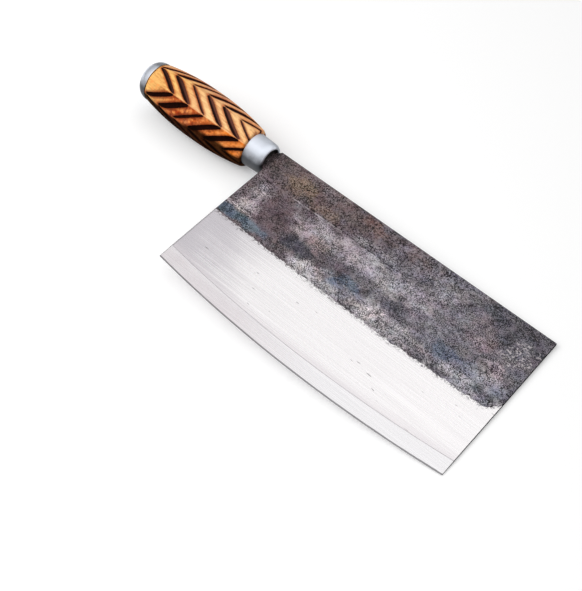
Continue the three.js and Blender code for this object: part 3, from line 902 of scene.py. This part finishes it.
def woodFinish():
    material, tree, shader = finish("carvedWood")
    place = knifePlace(tree)
    x, y, z = separate(place)
    facetAngle = 2 * math.pi / carving["facets"]
    turn = (aboutAxis(y, z) + math.radians(carving["ridgeTurn"])) / facetAngle
    turn = turn.math("FLOORED_MODULO", carving["facets"])
    half, aside = herringbone(x, turn, carving)

    # wood toasted more away from the spine and towards the blade, with grain along the handle; the darker
    # tone on the side away from the spine is partly painted shade
    odd = turn.math("FLOOR").math("FLOORED_MODULO", 2.0)
    lower = ease(turn, 0.97, 1.06) * ease(turn, 7.0, 6.0)  # the side away from the spine
    upperBack = ease(turn, 6.9, 7.1) * ease(turn, 7.95, 7.6)
    toasted = ease(x, -92.0, -70.0)
    awayFromBlade = ease(x, -26.0, -60.0, 0.15, 1.0)  # away from the blade
    toastAndShade = lower * toasted * 0.7 + upperBack * 0.3 + (grain(place, 0.12, 3.0) - 0.5) * 0.8 + 0.18
    streaks = grain(stretched(place, 0.03, 0.9, 0.9), 1.0, 5.0, 0.65)
    pores = ease(grain(stretched(place, 0.12, 2.4, 2.4), 1.0, 2.0), 0.62, 0.74)
    pale = blend(tree, ease(x, -78.0, -50.0), woodColours["paleButt"], woodColours["pale"])
    # painted light: the toasted wood is painted a lighter orange towards the blade
    brown = blend(tree, awayFromBlade, woodColours["toastPaintedLighter"], woodColours["toastAndShade"])
    wood = blend(tree, toastAndShade, pale, brown)
    wood = blend(tree, ease(streaks, 0.45, 0.7) * 0.6, wood, woodColours["streak"])
    wood = blend(tree, pores * 0.45, wood, woodColours["pore"])

    # burnt cuts with a scorched margin, wider and sootier on the lower side
    scorch = grain(place, 0.4, 4.0, 0.6)
    edge = aside.math("ABSOLUTE") - half + (grain(place, 1.4, 2.0) - 0.5) * 0.6
    made = ease(half, 0.02, 0.25)
    wood = blend(tree, lower * ease(scorch, 0.48, 0.38) * 0.75, wood, woodColours["blotch"])
    halo = ease(edge, 0.4 + scorch * 2.4 + lower * awayFromBlade * 0.8, 0.0) * made
    margin = blend(tree, lower, woodColours["upperScorch"], woodColours["lowerScorch"])
    wood = blend(tree, halo * (0.6 + awayFromBlade * 0.25), wood, margin)
    soot = (lower * toasted * (0.5 + awayFromBlade * 0.5) + upperBack * 0.3) * ease(scorch, 0.51, 0.62)
    wood = blend(tree, soot * 0.6, wood, woodColours["soot"])
    char = blend(tree, grain(place, 0.6, 3.0), woodColours["char"], woodColours["brownChar"])
    # painted light: the wall of each cut that faces the butt is painted a lighter brown, on every other
    # facet
    paintedLitWall = ease(aside / half, -0.3, 0.4) * (1.0 - odd) * ease(x, -84.0, -54.0, 0.25, 0.8)
    char = blend(tree, paintedLitWall, char, woodColours["paintedLitWall"])
    burn = ease(edge, 0.2, -0.25) * made
    wood = blend(tree, burn, wood, char)

    # the underside is darkened all along, from a border that comes up towards the blade
    underFrom = ease(x, -64.0, -44.0, 1.92, 1.62) + ease(x, -30.0, -20.0) * 0.25
    under = ease(turn - underFrom, 0.0, 0.24) * ease(turn, 6.4, 5.0)
    burntAndUnderside = burn.math("MAXIMUM", under)
    height = streaks * 0.5 - pores * 0.5 + burn * grain(place, 1.2, 3.0) * 0.8
    dress(
        shader,
        Base_Color=blend(tree, under * 0.94, wood, woodColours["underside"]),
        Specular_IOR_Level=0.25 - lower * 0.12 - burntAndUnderside * 0.12,
        Roughness=0.45 + (streaks - 0.5) * 0.3 + burntAndUnderside * 0.4,
        Normal=bumpOf(height, 0.12),
    )
    return material


def carvedGrip():
    sizes = {**grip, **gripMesh, **carving}
    tree = gripTree(sizes)
    material = woodFinish()
    blank = bpy.data.objects.new("gripBlank", bpy.data.meshes.new("gripBlank"))
    bpy.context.collection.objects.link(blank)
    modifier = blank.modifiers.new("carvedGrip", "NODES")
    modifier.node_group = tree
    for item in tree.interface.items_tree:
        if item.in_out == "INPUT":
            modifier[item.identifier] = material if item.name == "material" else sizes[item.name]
    blank.update_tag()
    evaluated = blank.evaluated_get(bpy.context.evaluated_depsgraph_get())
    mesh = bpy.data.meshes.new_from_object(evaluated)
    mesh.name = "carvedGrip"
    bpy.data.objects.remove(blank)
    layMesh(mesh, 50)
    makePiece(mesh, material, "grip")


carvedGrip()


# Satin metal of the ferrule and the cap: turned, bright on the crown, with painted shade darkening both
# flanks
satinTones = {
    "tint": colour(240, 245, 255),
    "bright": 0.98,
    "buttDimmer": 0.04,
    "lowerPaintedShade": 0.9,
    "upperPaintedShade": 0.56,
}


def satinFinish():
    material, tree, shader = finish("satinAluminium", Metallic=1.0)
    place = knifePlace(tree)
    x, y, z = separate(place)
    rings = grain(combine(tree, x * 4.0, 0.0, 0.0), 1.0, 3.0, 0.6)
    bloom = grain(place, 0.25, 4.0, 0.6)
    turn = aboutAxis(y, z) + (bloom - 0.5) * 0.3
    atButt = ease(x, -40.0, -60.0)
    # painted shade: both flanks are darkened, the upper one further round on the cap
    lowerFlankShade = ease(turn, 0.7, 1.35) * ease(turn, 3.1, 2.4)
    upperFlankShade = ease(turn - atButt * 0.47, -0.35, -0.75) * ease(turn, -3.1, -2.4)
    bright = satinTones["bright"] - atButt * satinTones["buttDimmer"]
    bright = bright + (rings - 0.5) * 0.08 + (bloom - 0.5) * 0.1
    paintedFlankShade = lowerFlankShade * satinTones["lowerPaintedShade"] + upperFlankShade * satinTones["upperPaintedShade"]
    dress(
        shader,
        Base_Color=shaded(satinTones["tint"], bright * (1.0 - paintedFlankShade)),
        Roughness=0.44 + (bloom - 0.5) * 0.16 + (rings - 0.5) * 0.08,
        Normal=bumpOf(rings * 0.5 + bloom * 0.5, 0.02),
    )
    return material


satin = satinFinish()

# Ferrule: a tapered collar whose lip turns in towards the neck
ferrule = {
    "rear": -15.3,
    "rearRadius": 10.7,
    "rimRound": 0.12,
    "rimDrop": 0.25,
    "lipStart": -6.0,
    "lipStartRadius": 10.3,
    "lipLength": 4.4,
    "lipDrop": 1.7,
    "wall": 0.9,
    "bodySteps": 4,
    "lipSteps": 14,
    "sides": 96,
    "dents": 0.03,
    "dentSize": 5.0,
}


def collarProfile():
    rear, rearRadius = ferrule["rear"], ferrule["rearRadius"]
    outer = [(rear, rearRadius - ferrule["rimDrop"]), (rear + ferrule["rimRound"], rearRadius)]
    for i in range(1, ferrule["bodySteps"]):
        share = i / ferrule["bodySteps"]
        radius = rearRadius + (ferrule["lipStartRadius"] - rearRadius) * share
        outer.append((rear + (ferrule["lipStart"] - rear) * share, radius))
    inner = [(rear, rearRadius - ferrule["wall"])]
    for i in range(ferrule["lipSteps"] + 1):
        angle = math.pi / 2 * i / ferrule["lipSteps"]
        x = ferrule["lipStart"] + ferrule["lipLength"] * math.sin(angle)
        radius = ferrule["lipStartRadius"] - ferrule["lipDrop"] * (1 - math.cos(angle))
        outer.append((x, radius))
        inner.append((x, radius - ferrule["wall"]))
    return [*outer, *reversed(inner)]


def collar():
    rings = []
    for x, radius in collarProfile():
        ring = []
        for spot in turnedRing(x, radius, ferrule["sides"]):
            dent = 0.5 + 0.5 * noise.noise(Vector(spot) / ferrule["dentSize"])
            dent *= ferrule["dents"] / radius
            ring.append((x, spot[1] - (spot[1] + knife["axisDrop"]) * dent, spot[2] * (1 - dent)))
        rings.append(ring)
    makePiece(meshOf("collar", tube(rings, closed=True), 45), satin, "ferrule")


collar()


# Black pitch in the ferrule's mouth and around the tang
pitch = {
    "front": -3.6,
    "rear": -5.0,
    "radius": 8.82,
    "gap": 0.3,  # to the neck
    "sag": 0.5,
    "lumpSize": 1.5,
    "sides": 72,
    "rings": 6,
    "tar": colour(12, 11, 11),
    "dust": colour(46, 40, 38),
}


def pitchFinish():
    material, tree, shader = finish("blackPitch", Specular_IOR_Level=0.35)
    place = addNode(tree, "ShaderNodeTexCoord", output="Object")  # in metres, for the CAD bedding too
    crumbs = grain(place, 900.0, 4.0, 0.65)
    dress(
        shader,
        Base_Color=blend(tree, crumbs, pitch["tar"], pitch["dust"]),
        Roughness=0.5 + crumbs * 0.35,
        Normal=bumpOf(crumbs, 0.3),
    )
    return material


def aroundNeck(angle):  # distance from the axis to the pitch's inner side
    wide = abs(math.cos(angle)) / tang["neckHalfWidth"]
    thick = abs(math.sin(angle)) / tang["neckHalfThickness"]
    return 1 / max(wide, thick) + pitch["gap"]


def mouthPitch():
    rings = []
    for i in range(pitch["rings"] + 1):
        share = i / pitch["rings"]
        ring = []
        for j in range(pitch["sides"]):
            angle = 2 * math.pi * j / pitch["sides"]
            radius = pitch["radius"] + (aroundNeck(angle) - pitch["radius"]) * share
            y, z = radius * math.cos(angle), radius * math.sin(angle)
            lumps = 0.7 + 0.3 * noise.noise(Vector((y, z, 0.0)) / pitch["lumpSize"])
            sag = pitch["sag"] * (4 * share * (1 - share)) * lumps
            ring.append((pitch["front"] - sag, y - knife["axisDrop"], z))
        rings.append(ring)
    rings += [[(pitch["rear"], y, z) for x, y, z in rings[k]] for k in (-1, 0)]
    makePiece(meshOf("mouthPitch", tube(rings, closed=True)), pitchFinish(), "neck_fill")


mouthPitch()


# Butt cap: a drawn cup with a sunk seat, the washer in it and the peened tail
cap = {
    "rim": -94.9,
    "radius": 12.9,
    "length": 9.0,
    "wall": 0.8,
    "domePower": 2.5,
    "crestRadius": 6.5,
    "crestPoints": 4,  # of the dome that are eased into the seat
    "crestRounds": 3,
    "seatRadius": 5.2,
    "seatDepth": 2.2,
    "hole": 2.91,
    "domeSteps": 22,
    "sides": 96,
}
washer = {
    "front": -101.31,
    "rear": -102.01,
    "radius": 4.6,
    "rounds": 2,
    "sides": 64,
    "clean": colour(196, 196, 198),
    "stained": colour(128, 120, 114),
}


def domeShare(share):  # what is left of one half-axis at a share of the other
    return (1 - share ** cap["domePower"]) ** (1 / cap["domePower"])


def domeSide(length, baseRadius, toRadius):
    reach = length * domeShare(toRadius / baseRadius)
    side = []
    for i in range(cap["domeSteps"] + 1):
        along = reach * math.sin(math.pi / 2 * i / cap["domeSteps"])
        side.append((cap["rim"] - along, baseRadius * domeShare(along / length)))
    return side


def turnedMesh(name, profile, sides):
    return meshOf(name, tube([turnedRing(x, radius, sides) for x, radius in profile], closed=True), 50)


def drawnCap():
    outer = domeSide(cap["length"], cap["radius"], cap["crestRadius"])
    inset = cap["wall"] / 2
    inner = domeSide(cap["length"] - cap["wall"], cap["radius"] - cap["wall"], cap["crestRadius"] + inset)
    seat = outer[-1][0] + cap["seatDepth"]
    sunk = [(seat, cap["seatRadius"]), (seat, cap["hole"])]
    under = [(seat + cap["wall"], cap["hole"]), (seat + cap["wall"], cap["seatRadius"] + inset)]
    dome, crest = outer[:-cap["crestPoints"]], outer[-cap["crestPoints"]:]
    crest = eased([*crest, *sunk], cap["crestRounds"])
    profile = [*dome, *crest, *under, *reversed(inner)]
    makePiece(turnedMesh("drawnCap", profile, cap["sides"]), satin, "butt_cap")


def washerFinish():
    material, tree, shader = finish("plainSteel", Metallic=1.0)
    stain = grain(knifePlace(tree), 0.7, 4.0, 0.6)
    dress(
        shader,
        Base_Color=blend(tree, ease(stain, 0.42, 0.66), washer["clean"], washer["stained"]),
        Roughness=0.3 + stain * 0.3,
        Normal=bumpOf(stain, 0.05),
    )
    return material


def tailWasher():
    square = [(washer["rear"], cap["hole"]), (washer["rear"], washer["radius"]),
              (washer["front"], washer["radius"]), (washer["front"], cap["hole"])]
    mesh = turnedMesh("tailWasher", eased(square, washer["rounds"], closed=True), washer["sides"])
    makePiece(mesh, washerFinish(), "tail_washer")


drawnCap()
tailWasher()

# The bedding inside the grip keeps its CAD solid
frame["nodes"]["tang_bedding"].data.materials.clear()
frame["nodes"]["tang_bedding"].data.materials.append(bpy.data.materials["blackPitch"])
print("pieces done")

# Studio: a white floor that keeps the shadow, a soft sky with two bright parts and two soft boxes
studio = {
    "floorReach": 3.0,
    "floorShade": 0.85,
    "floorGlow": 0.2,  # seen by the camera and in reflections only
    "skyHigh": 1.05,
    "skyLow": 0.15,
    "skySeen": 0.4,  # the low sky as the camera and reflections see it
    "skyTop": (0.25, 0.3, 0.92),  # brightest part of the sky, in the knife's frame
    "skyFrom": 0.45,  # cosines from that part, between which the sky brightens
    "skyTo": 0.93,
    "shineTop": (-0.46, -0.42, 0.78),  # a part that only the camera and reflections see bright
    "shineFrom": 0.8,
    "shineTo": 0.97,
    "shine": 0.62,
    "target": (90.0, -45.0, 0.0),  # in the knife's frame
}
softBoxes = {
    "sideKey": {"toward": (-0.7, -0.3, 0.65), "away": 1.3, "width": 0.8, "height": 0.8, "power": 5.5},
    "frontBox": {"toward": (-0.35, -0.65, 0.67), "away": 1.1, "width": 0.9, "height": 0.9, "power": 5.0},
}
photoCamera = {
    "place": (276.1, -341.7, 498.1),  # in the knife's frame
    "right": (0.75186, 0.65778, 0.04495),
    "up": (-0.56458, 0.60712, 0.55916),
    "lens": 66.99,
    "sensor": 36.0,
}


def seenShare(tree):  # 1 for what the camera, a mirror or glass sees
    path = tree.nodes.new("ShaderNodeLightPath")
    rays = ("Is Camera Ray", "Is Glossy Ray", "Is Transmission Ray")
    camera, mirror, glass = (Wire(tree, path.outputs[name]) for name in rays)
    return camera.math("MAXIMUM", mirror).math("MAXIMUM", glass)


def paleFloor():
    reach = studio["floorReach"]
    corners = [(-reach, -reach, 0), (reach, -reach, 0), (reach, reach, 0), (-reach, reach, 0)]
    mesh = bpy.data.meshes.new("paleFloor")
    mesh.from_pydata(corners, [], [(0, 1, 2, 3)])
    floor = bpy.data.objects.new("paleFloor", mesh)
    bpy.context.collection.objects.link(floor)
    shade = studio["floorShade"]
    material, tree, shader = finish("paleFloor", Roughness=1.0, Specular_IOR_Level=0.0,
                                    Base_Color=(shade, shade, shade, 1.0), Emission_Color=(1, 1, 1, 1))
    dress(shader, Emission_Strength=seenShare(tree) * studio["floorGlow"])
    mesh.materials.append(material)


def softSky():
    world = bpy.data.worlds.new("softSky")
    bpy.context.scene.world = world
    world.use_nodes = True
    tree = world.node_tree
    toward = addNode(tree, "ShaderNodeTexCoord", output="Generated")

    def facing(part):  # cosine from a part of the sky
        aim = (knifeToRow.to_3x3() @ Vector(studio[part])).normalized()
        inputs = {0: toward, 1: aim}
        return addNode(tree, "ShaderNodeVectorMath", inputs, output="Value", operation="DOT_PRODUCT")

    seen = seenShare(tree)
    low = studio["skyLow"] + seen * (studio["skySeen"] - studio["skyLow"])
    glow = ease(facing("skyTop"), studio["skyFrom"], studio["skyTo"], low, studio["skyHigh"])
    glow = glow + seen * ease(facing("shineTop"), studio["shineFrom"], studio["shineTo"]) * studio["shine"]
    plug(tree, glow, tree.nodes["Background"].inputs["Strength"])
    tree.nodes["Background"].inputs["Color"].default_value = (1, 1, 1, 1)


def softBox(name, box):
    lamp = bpy.data.lights.new(name, "AREA")
    lamp.shape = "RECTANGLE"
    lamp.size, lamp.size_y = box["width"], box["height"]
    lamp.energy = box["power"]
    holder = bpy.data.objects.new(name, lamp)
    toward = (knifeToRow.to_3x3() @ Vector(box["toward"])).normalized()
    holder.location = knifeToRow @ Vector(studio["target"]) + toward * box["away"]
    holder.rotation_euler = toward.to_track_quat("Z", "Y").to_euler()
    holder.visible_glossy = False  # so that the ground steel doesn't burn out
    bpy.context.collection.objects.link(holder)


def cameraAtPhoto():
    lens = bpy.data.cameras.new("photoCamera")
    lens.lens, lens.sensor_width = photoCamera["lens"], photoCamera["sensor"]
    camera = bpy.data.objects.new("photoCamera", lens)
    right = (knifeToRow.to_3x3() @ Vector(photoCamera["right"])).normalized()
    up = (knifeToRow.to_3x3() @ Vector(photoCamera["up"])).normalized()
    turn = Matrix((right, up, right.cross(up))).transposed().to_4x4()
    camera.matrix_world = Matrix.Translation(knifeToRow @ Vector(photoCamera["place"])) @ turn
    bpy.context.collection.objects.link(camera)
    bpy.context.scene.camera = camera


paleFloor()
softSky()
for boxName, boxSizes in softBoxes.items():
    softBox(boxName, boxSizes)
cameraAtPhoto()
bpy.context.scene.view_settings.view_transform = "Standard"
print("studio done")
